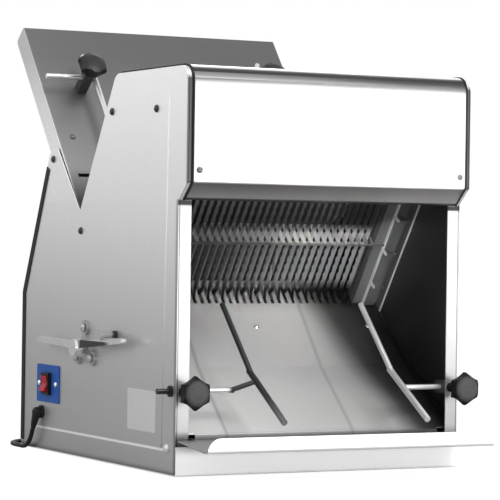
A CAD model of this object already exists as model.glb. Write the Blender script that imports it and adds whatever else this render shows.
import math

import bpy
from mathutils import Matrix, Vector


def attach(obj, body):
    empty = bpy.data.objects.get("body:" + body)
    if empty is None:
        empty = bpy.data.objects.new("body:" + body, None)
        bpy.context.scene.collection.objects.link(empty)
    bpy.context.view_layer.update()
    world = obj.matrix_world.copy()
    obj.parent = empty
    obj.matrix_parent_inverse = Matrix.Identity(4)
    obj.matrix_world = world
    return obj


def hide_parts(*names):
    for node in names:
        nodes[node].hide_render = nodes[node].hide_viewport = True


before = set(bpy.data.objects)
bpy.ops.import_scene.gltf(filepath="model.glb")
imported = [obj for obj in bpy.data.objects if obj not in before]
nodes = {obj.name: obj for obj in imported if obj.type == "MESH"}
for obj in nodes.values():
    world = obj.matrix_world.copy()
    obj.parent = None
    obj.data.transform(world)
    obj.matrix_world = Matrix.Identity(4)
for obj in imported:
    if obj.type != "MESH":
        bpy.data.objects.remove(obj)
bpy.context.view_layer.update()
scene = bpy.context.scene
scene.view_settings.view_transform = "Standard"

# Depth of the part's origin behind the front flange, in metres, and the flange in the part's frame
MID_Y = 0.252760
FRONT = -MID_Y


def at(x, y, z):
    """A point given in millimetres from the front flange, in the part's frame."""
    return Vector((x / 1000, y / 1000 - MID_Y, z / 1000))


# Camera at the photograph's view: place in millimetres, angles in degrees
CAMERA_AT = (-1723.0, -3070.1, 330.3)
CAMERA_YAW, CAMERA_PITCH, CAMERA_ROLL = 27.61, 0.20, 0.80
CAMERA_LENS = 177.19
CAMERA_SENSOR = 36
CAMERA_REACH = 50


def camera_turn():
    """The camera's rotation: its right, up and backward directions as columns."""
    yaw, pitch, roll = (math.radians(a) for a in (CAMERA_YAW, CAMERA_PITCH, CAMERA_ROLL))
    forward = Vector((math.sin(yaw) * math.cos(pitch), math.cos(yaw) * math.cos(pitch),
                      -math.sin(pitch)))
    level = Vector((math.cos(yaw), -math.sin(yaw), 0))
    down = forward.cross(level)
    right = level * math.cos(roll) - down * math.sin(roll)
    up = -(down * math.cos(roll) + level * math.sin(roll))
    return Matrix((right, up, -forward)).transposed().to_4x4()


camera_data = bpy.data.cameras.new("camera")
camera_data.sensor_width = CAMERA_SENSOR
camera_data.lens = CAMERA_LENS
camera_data.clip_end = CAMERA_REACH
camera = bpy.data.objects.new("camera", camera_data)
camera.matrix_world = Matrix.Translation(at(*CAMERA_AT)) @ camera_turn()
scene.collection.objects.link(camera)
scene.camera = camera


# Mains lead: the route and the coil of the part's source, in millimetres and degrees
CORD_D = 7.0
CORD_FINENESS = 4
GLAND_AT = (-240, 473, 61)
BOOT_LENGTH = 26
BOOT_BACK, BOOT_DOWN = 0.5, 0.866
CORD_ROUTE = [
    (-240, 491, 29.8), (-240, 494.6, 23.5), (-240, 500.9, 15.2), (-240, 509.2, 9),
    (-240, 518.8, 5), (-240, 529.2, 3.6), (-240, 543, 3.6), (-240, 558, 3.6),
    (-237.6, 576.1, 3.6), (-230.6, 593, 3.6), (-219.5, 607.5, 3.6), (-205, 618.6, 3.6),
    (-187.7, 628.6, 3.8), (-170.4, 638.6, 4.2), (-155, 647.5, 4.7)]
ROUTE_STEPS = 4
COIL_AT = (-98.0, 623.0)
COIL_R = 50.0
COIL_STEP = 7.6
COIL_LOW = 5.1
COIL_SWEEP = 2220.0
COIL_START = 120.0
COIL_POINT_EVERY = 5


def coil_point(a):
    """The coil winds inwards on the floor, then outwards on top of itself."""
    r = COIL_R - COIL_STEP * (COIL_SWEEP / 2 - abs(a - COIL_SWEEP / 2)) / 360
    s = max(0.0, min(1.0, (a - COIL_SWEEP / 2 + 90) / 180))
    t = math.radians(COIL_START - a)
    return Vector((COIL_AT[0] + r * math.cos(t), COIL_AT[1] + r * math.sin(t),
                   COIL_LOW + COIL_STEP * s * s * (3 - 2 * s)))


def coil_tail(a, d):
    """A point at distance d along the coil's tangent at the angle a."""
    return coil_point(a) + (coil_point(a + 0.5) - coil_point(a - 0.5)).normalized() * d


def rounded(points, steps):
    """Passes a smooth line through the points."""
    ends = [points[0] * 2 - points[1]] + points + [points[-1] * 2 - points[-2]]
    line = []
    for i in range(1, len(ends) - 2):
        a, b, c, d = ends[i - 1:i + 3]
        for k in range(steps):
            t = k / steps
            line.append(0.5 * (2 * b + (c - a) * t + (2 * a - 5 * b + 4 * c - d) * t * t
                               + (3 * b - a - 3 * c + d) * t ** 3))
    return line + [points[-1]]


boot_end = Vector((GLAND_AT[0], GLAND_AT[1] + BOOT_LENGTH * BOOT_BACK,
                   GLAND_AT[2] - BOOT_LENGTH * BOOT_DOWN))
route = [boot_end] + [Vector(p) for p in CORD_ROUTE]
route += [coil_tail(0, -20), coil_tail(0, -8), coil_tail(0, 0)]
line = rounded(route, ROUTE_STEPS)
line += [coil_point(a) for a in range(COIL_POINT_EVERY, int(COIL_SWEEP), COIL_POINT_EVERY)]
line += [coil_tail(COIL_SWEEP, 0), coil_tail(COIL_SWEEP, CORD_D)]
line = [at(*p) for p in line]

# The radius stands at the points, because a curve's box grows by the radius of its points
cord_data = bpy.data.curves.new("mains_lead", "CURVE")
cord_data.dimensions = "3D"
cord_data.bevel_depth = 1.0
cord_data.bevel_resolution = CORD_FINENESS
cord_data.use_fill_caps = True
spline = cord_data.splines.new("POLY")
spline.points.add(len(line) - 1)
for point, p in zip(spline.points, line):
    point.co = (*p, 1)
    point.radius = CORD_D / 2000
spline.use_smooth = True
lead = bpy.data.objects.new("mains_lead", cord_data)
scene.collection.objects.link(lead)
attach(lead, "machine")
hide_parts("power_cord", "cord_coil")


# Shader nodes
NOISE_DETAIL = 4.0
NOISE_LOW, NOISE_HIGH = 0.25, 0.75
ROUGH_SPREAD = 0.02
BUMP_HEIGHT = 0.0004


def math_node(tree, operation, *values):
    """A math node's result; each value is a number or the socket that feeds it."""
    node = tree.nodes.new("ShaderNodeMath")
    node.operation = operation
    for socket, value in zip(node.inputs, values):
        if isinstance(value, float):
            socket.default_value = value
        else:
            tree.links.new(value, socket)
    return node.outputs["Value"]


def map_range(tree, value, low, high, to_low=0.0, to_high=1.0):
    """Takes low..high to to_low..to_high."""
    node = tree.nodes.new("ShaderNodeMapRange")
    node.inputs["From Min"].default_value = low
    node.inputs["From Max"].default_value = high
    node.inputs["To Min"].default_value = to_low
    node.inputs["To Max"].default_value = to_high
    tree.links.new(value, node.inputs["Value"])
    return node.outputs["Result"]


def mix_shaders(tree, share, first, second, output):
    """Shows the second shader by its share, and the first one by the rest."""
    mix = tree.nodes.new("ShaderNodeMixShader")
    tree.links.new(share, mix.inputs["Fac"])
    tree.links.new(first, mix.inputs[1])
    tree.links.new(second, mix.inputs[2])
    tree.links.new(mix.outputs["Shader"], tree.nodes[output].inputs["Surface"])


def material(name, colour, rough, metal=0.0, grain=(60, 60, 60), depth=0.03, ramps=(), bump=0.0,
             shine=0.5):
    """Principled surface with a fine procedural variation of its colour and roughness.

    grain stretches the noise: large along a direction gives lines across it. Each ramp is an axis,
    with a leading - for the distance from the middle plane, or a direction, and a list of
    (metres, factor). Further ramps in its tuple, from 0 to 1, say where it counts."""
    mat = bpy.data.materials.new(name)
    mat.use_nodes = True
    tree = mat.node_tree
    new, link = tree.nodes.new, tree.links.new
    shader = tree.nodes["Principled BSDF"]
    shader.inputs["Metallic"].default_value = metal
    shader.inputs["Specular IOR Level"].default_value = shine
    coords = new("ShaderNodeTexCoord").outputs["Object"]
    split = new("ShaderNodeSeparateXYZ")
    link(coords, split.inputs["Vector"])
    place = new("ShaderNodeMapping")
    place.inputs["Scale"].default_value = grain
    link(coords, place.inputs["Vector"])
    noise = new("ShaderNodeTexNoise")
    noise.inputs["Scale"].default_value = 1.0
    noise.inputs["Detail"].default_value = NOISE_DETAIL
    link(place.outputs["Vector"], noise.inputs["Vector"])
    grey = noise.outputs["Fac"]

    def ramp(axis, stops):
        if len(axis) == 3:
            along = new("ShaderNodeVectorMath")
            along.operation = "DOT_PRODUCT"
            along.inputs[1].default_value = axis
            link(coords, along.inputs[0])
            spot = along.outputs["Value"]
        else:
            spot = split.outputs[axis[-1]]
        if axis[0] == "-":
            spot = math_node(tree, "ABSOLUTE", spot)
        low, high = stops[0][0], stops[-1][0]
        fade = new("ShaderNodeValToRGB")
        while len(fade.color_ramp.elements) < len(stops):
            fade.color_ramp.elements.new(0.5)
        for element, (metres, value) in zip(fade.color_ramp.elements, stops):
            element.position = (metres - low) / (high - low)
            element.color = (value, value, value, 1)
        link(map_range(tree, spot, low, high), fade.inputs["Fac"])
        return fade.outputs["Color"]

    factor = map_range(tree, grey, NOISE_LOW, NOISE_HIGH, 1 - depth, 1 + depth)
    for axis, stops, *where in ramps:
        value = ramp(axis, stops)
        for place_axis, place_stops in where:
            change = math_node(tree, "SUBTRACT", value, 1.0)
            value = math_node(tree, "MULTIPLY_ADD", change, ramp(place_axis, place_stops), 1.0)
        factor = math_node(tree, "MULTIPLY", factor, value)
    tint = new("ShaderNodeVectorMath")
    tint.operation = "SCALE"
    tint.inputs[0].default_value = colour
    link(factor, tint.inputs["Scale"])
    link(tint.outputs["Vector"], shader.inputs["Base Color"])
    link(map_range(tree, grey, 0.0, 1.0, rough - ROUGH_SPREAD, rough + ROUGH_SPREAD),
         shader.inputs["Roughness"])
    if bump:
        relief = new("ShaderNodeBump")
        relief.inputs["Strength"].default_value = bump
        relief.inputs["Distance"].default_value = BUMP_HEIGHT
        link(grey, relief.inputs["Height"])
        link(relief.outputs["Normal"], shader.inputs["Normal"])
    return mat


# Panels: lighter towards the top, with a dark foot
panel_height = ("Z", [(0.0, 0.25), (0.005, 0.25), (0.010, 0.54), (0.1, 0.58), (0.2, 0.72),
                      (0.36, 0.98), (0.58, 1.2)])
# Below the hood a dark line runs beside the flange, and beside the hood the front rim is dark
below_hood = ("Z", [(0.0, 1.0), (0.386, 1.0), (0.388, 0.0), (0.6, 0.0)])
beside_hood = ("Z", [(0.0, 0.0), (0.386, 0.0), (0.388, 1.0), (0.6, 1.0)])
panel_front = ("Y", [(FRONT - 0.0014, 0.64), (FRONT + 0.0016, 0.64), (FRONT + 0.0022, 0.5),
                     (FRONT + 0.0060, 0.5), (FRONT + 0.0085, 1.0), (0.31, 0.95)], below_hood)
panel_rim = ("Y", [(FRONT - 0.0300, 0.12), (FRONT - 0.0242, 0.12), (FRONT - 0.0225, 1.0),
                   (0.31, 1.0)], beside_hood)
# The flange is dark at its lower end and under the hood
on_flange = ("Y", [(FRONT - 0.0014, 1.0), (FRONT + 0.0016, 1.0), (FRONT + 0.0020, 0.0),
                   (0.31, 0.0)])
flange_ends = ("Z", [(0.030, 0.15), (0.045, 0.22), (0.066, 1.0), (0.3785, 1.0), (0.3800, 0.05),
                     (0.3868, 0.05), (0.3876, 1.0), (0.400, 1.0)], on_flange)
# The lower edge of the pressed field catches the light
along_field = ("Y", [(FRONT + 0.030, 0.0), (FRONT + 0.046, 1.0), (FRONT + 0.480, 1.0),
                     (FRONT + 0.510, 0.0)])
field_edge = ("Z", [(0.0330, 1.0), (0.0345, 1.0), (0.0355, 2.3), (0.0382, 2.3), (0.0392, 1.0),
                    (0.0400, 1.0)], along_field)
# The inner face of a panel, 2 mm inside its outer face, lies in the dark of the machine
dark_inside = ("-X", [(0.2272, 1.0), (0.2277, 0.065), (0.2283, 0.065), (0.2288, 1.0)])
panel_steel = material(
    "panel_steel", (0.80, 0.80, 0.795), 0.34, 0.55, (40, 900, 14), 0.03,
    [panel_height, panel_front, panel_rim, flange_ends, field_edge, dark_inside])

# Hood: dark lower edge, grey chin, white front, and the dark room mirrored in its upper bend
hood_height = ("Z", [(0.3860, 0.03), (0.3893, 0.03), (0.3905, 0.24), (0.4000, 0.17),
                     (0.4095, 0.12), (0.4135, 1.0), (0.5450, 1.0), (0.5495, 0.85),
                     (0.5525, 0.45), (0.5555, 0.2), (0.5585, 0.1), (0.5615, 0.055),
                     (0.5645, 0.045), (0.5675, 0.045), (0.5700, 0.1), (0.5718, 0.9)])
hood_steel = material("hood_steel", (0.96, 0.96, 0.955), 0.22, 0.6, (5, 700, 700), 0.015,
                      [hood_height], shine=0.1)

# Shelf: the lip is bright, and the top behind it darker
shelf_depth = ("Y", [(FRONT - 0.1030, 1.0), (FRONT - 0.0985, 1.0), (FRONT - 0.0960, 0.42),
                     (0.0, 0.42)])
shelf_steel = material("shelf_steel", (0.64, 0.64, 0.635), 0.3, 0.4, (4, 900, 900), 0.015,
                       [shelf_depth])
apron_paint = material("apron_paint", (0.93, 0.93, 0.925), 0.45, 0.0, (6, 500, 500), 0.015)

# Chute: the dark right wall is mirrored in it, and its front edge and its slots lie in shade
chute_mirror = ((1, 0, 0.22), [(-0.220, 1.42), (-0.100, 1.50), (0.020, 1.2), (0.130, 0.98),
                               (0.145, 0.85), (0.155, 0.65), (0.165, 0.45), (0.175, 0.28),
                               (0.185, 0.12), (0.195, 0.07), (0.205, 0.06), (0.225, 0.04),
                               (0.240, 0.02), (0.280, 0.03)])
chute_height = ("Z", [(0.05, 1.08), (0.10, 1.05), (0.13, 0.98), (0.16, 0.93), (0.19, 0.93),
                      (0.22, 0.95), (0.235, 0.85), (0.245, 0.60), (0.27, 0.40)])
chute_foot = ("Z", [(0.0450, 0.7), (0.0548, 0.7), (0.0562, 1.0), (0.1000, 1.0)])
chute_edge = ("Y", [(FRONT, 0.29), (FRONT + 0.0034, 0.29), (FRONT + 0.0050, 1.0), (0.1, 1.0)])
# Two faint dark lines on the chute are the bars above it, mirrored in the sheet
chute_lines = ((1, -0.15, 0), [(-0.3000, 1.0), (-0.1150, 1.0), (-0.1120, 0.68), (-0.1100, 0.68),
                               (-0.1070, 1.0), (0.0895, 1.0), (0.0925, 0.72), (0.0945, 0.72),
                               (0.0975, 1.0), (0.3000, 1.0)])
chute_steel = material("chute_steel", (0.44, 0.44, 0.436), 0.4, 0.3, (900, 20, 20), 0.03,
                       [chute_mirror, chute_height, chute_foot, chute_edge, chute_lines])

# Tray: bright left flange, and a foot in the dark behind the blades
tray_side = ("X", [(-0.2262, 4.8), (-0.2248, 4.8), (-0.2244, 0.95), (-0.1, 0.82), (0.226, 0.72)])
tray_height = ("Z", [(0.25, 0.12), (0.39, 0.12), (0.40, 0.4), (0.44, 1.45), (0.56, 1.1),
                     (0.62, 0.84), (0.70, 0.8)])
tray_steel = material("tray_steel", (0.15, 0.15, 0.149), 0.42, 0.35, (20, 20, 600), 0.04,
                      [tray_side, tray_height])

# Upper comb: brightest right of the middle, with a dark lower edge
comb_side = ("X", [(-0.1900, 0.7), (0.0000, 0.9), (0.0600, 1.9), (0.1200, 1.3), (0.1900, 0.8)])
comb_edge = ("Z", [(0.3200, 0.4), (0.3287, 0.4), (0.3295, 1.0), (0.3600, 1.0)])
comb_steel = material("comb_steel", (0.34, 0.34, 0.337), 0.35, 0.5, (500, 40, 40), 0.04,
                      [comb_side, comb_edge])
cover_steel = material("cover_steel", (0.6, 0.6, 0.595), 0.36, 0.55, (30, 500, 20), 0.03)

# The edges of a guide rail catch the light: its front foot and the inner end of its front rib
BLADE_LEAN = math.radians(35)
BLADE_Y, BLADE_Z = 0.248, 0.250
across_rail = (0, math.cos(BLADE_LEAN), math.sin(BLADE_LEAN))
blade_plane = (BLADE_Y - MID_Y) * across_rail[1] + BLADE_Z * across_rail[2]
rail_foot = (across_rail, [(blade_plane + y, value) for y, value in [
    (-0.0400, 8.0), (-0.0342, 8.0), (-0.0336, 1.0), (-0.0148, 1.0), (-0.0140, 0.6),
    (0.0200, 0.6)]])
rail_rib = ("-X", [(0.2030, 7.0), (0.2062, 7.0), (0.2068, 1.0), (0.2280, 1.0)])
rail_steel = material("rail_steel", (0.11, 0.11, 0.11), 0.4, 0.5, (60, 60, 60), 0.04,
                      [rail_foot, rail_rib])

# Blades: brighter towards the right, dark in the slots of the chute and above the comb
blade_side = ("X", [(-0.1800, 0.20), (-0.0600, 0.36), (0.0200, 0.75), (0.1000, 0.95),
                    (0.1800, 1.06)])
blade_height = ("Z", [(0.200, 0.02), (0.258, 0.02), (0.266, 0.3), (0.276, 1.0), (0.345, 1.0),
                      (0.355, 0.13), (0.500, 0.13)])
blade_steel = material("blade_steel", (0.92, 0.92, 0.915), 0.28, 0.6, (300, 40, 10), 0.04,
                       [blade_side, blade_height])

# Rods and screws: what stands outside the left panel is darker
outer_stub = ("X", [(-0.2600, 0.3), (-0.2305, 0.3), (-0.2285, 1.0), (0.2500, 1.0)])
dark_rod = material("dark_rod", (0.12, 0.12, 0.12), 0.3, 0.6, (40, 40, 40), 0.04, [outer_stub])
# The left outlet guide is bright along its level rod and at the lower end of its bar
outlet_side = ("X", [(-0.2600, 0.6), (-0.2305, 0.6), (-0.2285, 2.0), (-0.1900, 9.0),
                     (-0.1430, 9.0), (-0.1370, 1.0), (0.2500, 1.0)])
outlet_height = ("Z", [(0.0600, 5.0), (0.0850, 3.0), (0.1150, 1.0), (0.2500, 0.8)])
outlet_rod = material("outlet_rod", (0.06, 0.06, 0.06), 0.3, 0.6, (40, 40, 40), 0.04,
                      [outlet_side, outlet_height])
bright_rod = material("bright_rod", (0.66, 0.66, 0.655), 0.28, 0.6, (40, 40, 40), 0.04)
bright_steel = material("bright_steel", (0.92, 0.92, 0.915), 0.2, 0.85, (120, 120, 120), 0.03)

# Lever: the underside of its front arm is dark, and so is the foot of the stop stud
front_arm = ("Y", [(-0.0800, 0.0), (-0.0600, 1.0), (0.0280, 1.0), (0.0360, 0.0)])
arm_shade = ("Z", [(0.1700, 0.06), (0.1805, 0.06), (0.1815, 1.0), (0.2000, 1.0)], front_arm)
lever_steel = material("lever_steel", (0.92, 0.92, 0.915), 0.2, 0.85, (120, 120, 120), 0.03,
                       [arm_shade])
flange_steel = material("flange_steel", (0.42, 0.42, 0.417), 0.32, 0.6, (120, 120, 120), 0.03)
stud_foot = ("X", [(-0.2650, 1.0), (-0.2410, 1.0), (-0.2370, 0.08), (-0.2290, 0.08)])
stop_steel = material("stop_steel", (0.5, 0.5, 0.497), 0.32, 0.6, (120, 120, 120), 0.03,
                      [stud_foot])

# Drive
cast_alloy = material("cast_alloy", (0.12, 0.12, 0.12), 0.42, 0.4, (180, 180, 180), 0.04,
                      bump=0.1)
dark_iron = material("dark_iron", (0.07, 0.07, 0.072), 0.5, 0.4, (200, 200, 200), 0.1, bump=0.15)
motor_paint = material("motor_paint", (0.16, 0.18, 0.21), 0.45, 0.1, (150, 150, 150), 0.08,
                       bump=0.1)

# Rubber and plastic; an outlet knob has a grey dome between black lobes
rubber = material("rubber", (0.016, 0.016, 0.017), 0.55, 0.0, (300, 300, 300), 0.15, bump=0.15,
                  shine=0.2)
knob_plastic = material("knob_plastic", (0.014, 0.014, 0.015), 0.42, 0.0, (400, 400, 400), 0.15,
                        bump=0.1, shine=0.3)
knob_dome = ("Y", [(FRONT - 0.0500, 1.0), (FRONT - 0.0470, 1.0), (FRONT - 0.0455, 0.08),
                   (0.0, 0.08)])
knob_face = material("knob_face", (0.07, 0.07, 0.072), 0.45, 0.0, (400, 400, 400), 0.15,
                     [knob_dome], bump=0.1, shine=0.08)
edging = material("edging", (0.012, 0.012, 0.013), 0.5, 0.0, (300, 300, 300), 0.12, shine=0.15)
blue_plastic = material("blue_plastic", (0.016, 0.095, 0.38), 0.45, 0.0, (250, 250, 250), 0.06,
                        shine=0.15)
black_plastic = material("black_plastic", (0.01, 0.01, 0.011), 0.4, 0.0, (250, 250, 250), 0.12,
                         shine=0.15)
red_plastic = material("red_plastic", (0.42, 0.008, 0.014), 0.4, 0.0, (250, 250, 250), 0.06,
                       shine=0.2)
pale_label = material("pale_label", (0.6, 0.6, 0.595), 0.5, 0.0, (90, 90, 90), 0.02)

finish = {
    panel_steel: "left_panel right_panel",
    hood_steel: "hood",
    shelf_steel: "front_shelf",
    apron_paint: "base_pan",
    chute_steel: "chute",
    tray_steel: "infeed_tray",
    comb_steel: "upper_comb",
    cover_steel: "rear_cover column_back",
    rail_steel: "left_rail right_rail",
    blade_steel: "front_blades rear_blades",
    dark_rod: "panel_screws tray_screws hood_screws",
    outlet_rod: "left_outlet_guide",
    bright_rod: "right_outlet_guide left_feed_guide right_feed_guide shelf_bolts",
    bright_steel: "switch_screws chute_screws",
    lever_steel: "side_lever",
    flange_steel: "lever_flange",
    stop_steel: "lever_stop",
    cast_alloy: "front_frame rear_frame",
    dark_iron: "crankshaft big_pulley bearing_stands motor_pulley outlet_clamps feed_posts"
               " idler_arm",
    motor_paint: "drive_motor",
    rubber: "drive_belt idler_roller rubber_feet rod_bushes cord_gland power_cord cord_coil"
            " cord_tie power_plug",
    knob_plastic: "left_feed_knob right_feed_knob",
    knob_face: "left_outlet_knob right_outlet_knob",
    edging: "hood_edging rear_edging",
    blue_plastic: "switch_plate",
    black_plastic: "switch_bezel",
    red_plastic: "switch_rocker",
}
for mat, names in finish.items():
    for name in names.split():
        nodes[name].data.materials.clear()
        nodes[name].data.materials.append(mat)
lead.data.materials.append(rubber)

# Softened edges on the sheet metal and the mouldings, by their width in metres
SHARP_EDGE = math.radians(40)
softened = {
    0.0006: "base_pan hood front_shelf rear_cover lever_flange side_lever infeed_tray",
    0.0010: "left_outlet_knob right_outlet_knob left_feed_knob right_feed_knob switch_bezel"
            " power_plug",
    0.0008: "switch_plate switch_rocker feed_posts outlet_clamps",
}
for width, names in softened.items():
    for name in names.split():
        bevel = nodes[name].modifiers.new("soft_edges", "BEVEL")
        bevel.width = width
        bevel.segments = 2
        bevel.limit_method = "ANGLE"
        bevel.angle_limit = SHARP_EDGE


# Bare plate where the photograph has a printed table, in millimetres
PLATE_X = -231.0
PLATE_Y = (63, 157)
PLATE_Z = (58, 117)
PLATE_R = 3
PLATE_EDGE, PLATE_T = 0.4, 0.6
PLATE_CHAMFER_R, PLATE_CHAMFER = 2, 2
CORNER_STEPS = 6


def plate_ring(x, inset, r):
    """A rectangle with rounded corners, set in from the plate's outline."""
    y0, y1 = PLATE_Y[0] + inset, PLATE_Y[1] - inset
    z0, z1 = PLATE_Z[0] + inset, PLATE_Z[1] - inset
    corners = [(y1 - r, z1 - r, 0), (y0 + r, z1 - r, 90), (y0 + r, z0 + r, 180),
               (y1 - r, z0 + r, 270)]
    turns = [90 * k / CORNER_STEPS for k in range(CORNER_STEPS + 1)]
    return [at(x, y + r * math.cos(math.radians(a + b)), z + r * math.sin(math.radians(a + b)))
            for y, z, a in corners for b in turns]


rings = [plate_ring(PLATE_X, 0, PLATE_R), plate_ring(PLATE_X - PLATE_EDGE, 0, PLATE_R),
         plate_ring(PLATE_X - PLATE_T, PLATE_CHAMFER, PLATE_CHAMFER_R)]
n = len(rings[0])
faces = [(i + n * k, (i + 1) % n + n * k, (i + 1) % n + n * (k + 1), i + n * (k + 1))
         for k in range(len(rings) - 1) for i in range(n)]
faces.append(tuple(range(2 * n, 3 * n)))
faces.append(tuple(reversed(range(n))))
plate_mesh = bpy.data.meshes.new("bare_plate")
plate_mesh.from_pydata([tuple(v) for ring in rings for v in ring], [], faces)
plate_mesh.materials.append(pale_label)
plate = bpy.data.objects.new("bare_plate", plate_mesh)
scene.collection.objects.link(plate)
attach(plate, "machine")


# Floor: a pale sheet that the camera sees as nearly white
FLOOR_REACH = 30
FLOOR_GREY = 0.6
FLOOR_ROUGH = 0.9
FLOOR_GLOW = 1.27
FLOOR_GLOW_SHARE = 0.75
WHITE = (1, 1, 1, 1)
floor_mesh = bpy.data.meshes.new("floor")
floor_mesh.from_pydata([(x * FLOOR_REACH, y * FLOOR_REACH, 0)
                        for x, y in ((-1, -1), (1, -1), (1, 1), (-1, 1))], [], [(0, 1, 2, 3)])
floor = bpy.data.objects.new("floor", floor_mesh)
scene.collection.objects.link(floor)
floor_mat = bpy.data.materials.new("floor")
floor_mat.use_nodes = True
tree = floor_mat.node_tree
paint = tree.nodes["Principled BSDF"]
paint.inputs["Base Color"].default_value = (FLOOR_GREY, FLOOR_GREY, FLOOR_GREY, 1)
paint.inputs["Roughness"].default_value = FLOOR_ROUGH
paint.inputs["Specular IOR Level"].default_value = 0.0
glow = tree.nodes.new("ShaderNodeEmission")
glow.inputs["Color"].default_value = WHITE
glow.inputs["Strength"].default_value = FLOOR_GLOW
path = tree.nodes.new("ShaderNodeLightPath")
mix_shaders(tree, math_node(tree, "MULTIPLY", path.outputs["Is Camera Ray"], FLOOR_GLOW_SHARE),
            paint.outputs["BSDF"], glow.outputs["Emission"], "Material Output")
floor_mesh.materials.append(floor_mat)

# World: white where it is seen or mirrored, weaker as a light
SKY_LIGHT = 0.35
world = bpy.data.worlds.new("studio")
scene.world = world
world.use_nodes = True
tree = world.node_tree
sky = tree.nodes["Background"]
sky.inputs["Color"].default_value = WHITE
sky.inputs["Strength"].default_value = SKY_LIGHT
shown = tree.nodes.new("ShaderNodeBackground")
shown.inputs["Color"].default_value = WHITE
path = tree.nodes.new("ShaderNodeLightPath")
seen = math_node(tree, "MAXIMUM", path.outputs["Is Camera Ray"],
                 path.outputs["Is Transmission Ray"])
mirrored = math_node(tree, "MAXIMUM", seen, path.outputs["Is Glossy Ray"])
mix_shaders(tree, mirrored, sky.outputs["Background"], shown.outputs["Background"],
            "World Output")

# Lamps: name, place, target, size in metres, watts, spread in degrees
LAMPS = [
    ("key", (0.7, -2.0, 2.7), (0, 0, 0.3), (1.6, 1.6), 70, 180),
    ("front", (-0.6, -3.2, 0.25), (0, 0, 0.2), (2.2, 0.4), 20, 180),
    ("left", (-2.6, -0.2, 1.7), (0, 0.1, 0.35), (1.6, 1.6), 24, 180),
    ("rear", (0.8, 2.4, 1.8), (0, 0, 0.3), (1.6, 1.2), 16, 180),
    ("low", (0.5, -1.7, 0.12), (0, -0.25, 0.05), (1.2, 0.15), 9, 180),
    ("throat", (-0.2, -2.5, 0.75), (0.12, 0.02, 0.33), (0.3, 0.3), 0.6, 8),
]
for name, place, target, size, watts, spread in LAMPS:
    softbox = bpy.data.lights.new(name, "AREA")
    softbox.shape = "RECTANGLE"
    softbox.size, softbox.size_y = size
    softbox.energy = watts
    softbox.spread = math.radians(spread)
    lamp = bpy.data.objects.new(name, softbox)
    lamp.location = place
    aim = Vector(target) - Vector(place)
    lamp.rotation_euler = aim.to_track_quat("-Z", "Y").to_euler()
    scene.collection.objects.link(lamp)
